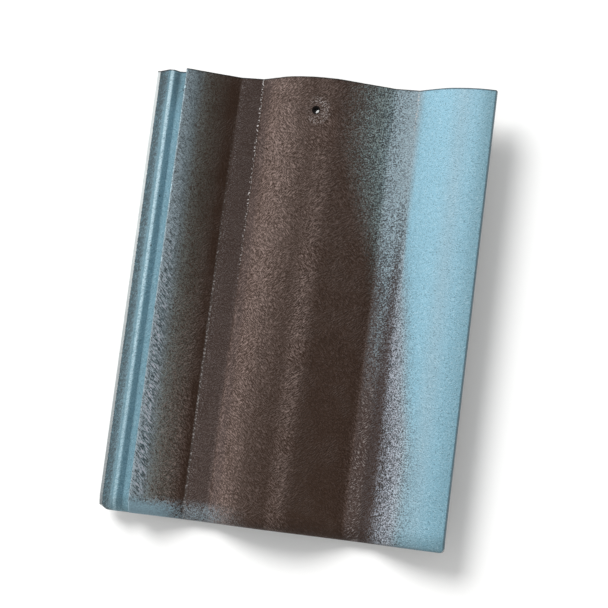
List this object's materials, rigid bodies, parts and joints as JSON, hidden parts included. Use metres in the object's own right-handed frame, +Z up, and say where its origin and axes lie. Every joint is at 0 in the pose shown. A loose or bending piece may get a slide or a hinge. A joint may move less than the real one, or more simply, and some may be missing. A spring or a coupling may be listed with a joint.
{
  "type": "interlocking roof tile",
  "caption": "Wave-profile roof tile: flat pans between rolls, a side water lock that the next tile's cover roll overlaps, a rounded tail nose, a nail hole, hanging nibs and weather bars.",
  "frame": {"origin": "on the floor, under the middle of the tile's box", "axes": "+Y from the tail nose towards the head, +X from the water lock towards the cover edge, +Z up; the tile lies with its first weather bar and its nibs on Z = 0"},
  "size_m": [0.33, 0.4206, 0.053],
  "materials": {
    "coated_concrete": "granular satin colour coat, dark brown sprayed over with blue-grey towards the sides"
  },
  "bodies": {
    "root": {"roof_tile": "coated_concrete"}
  },
  "joints": []
}
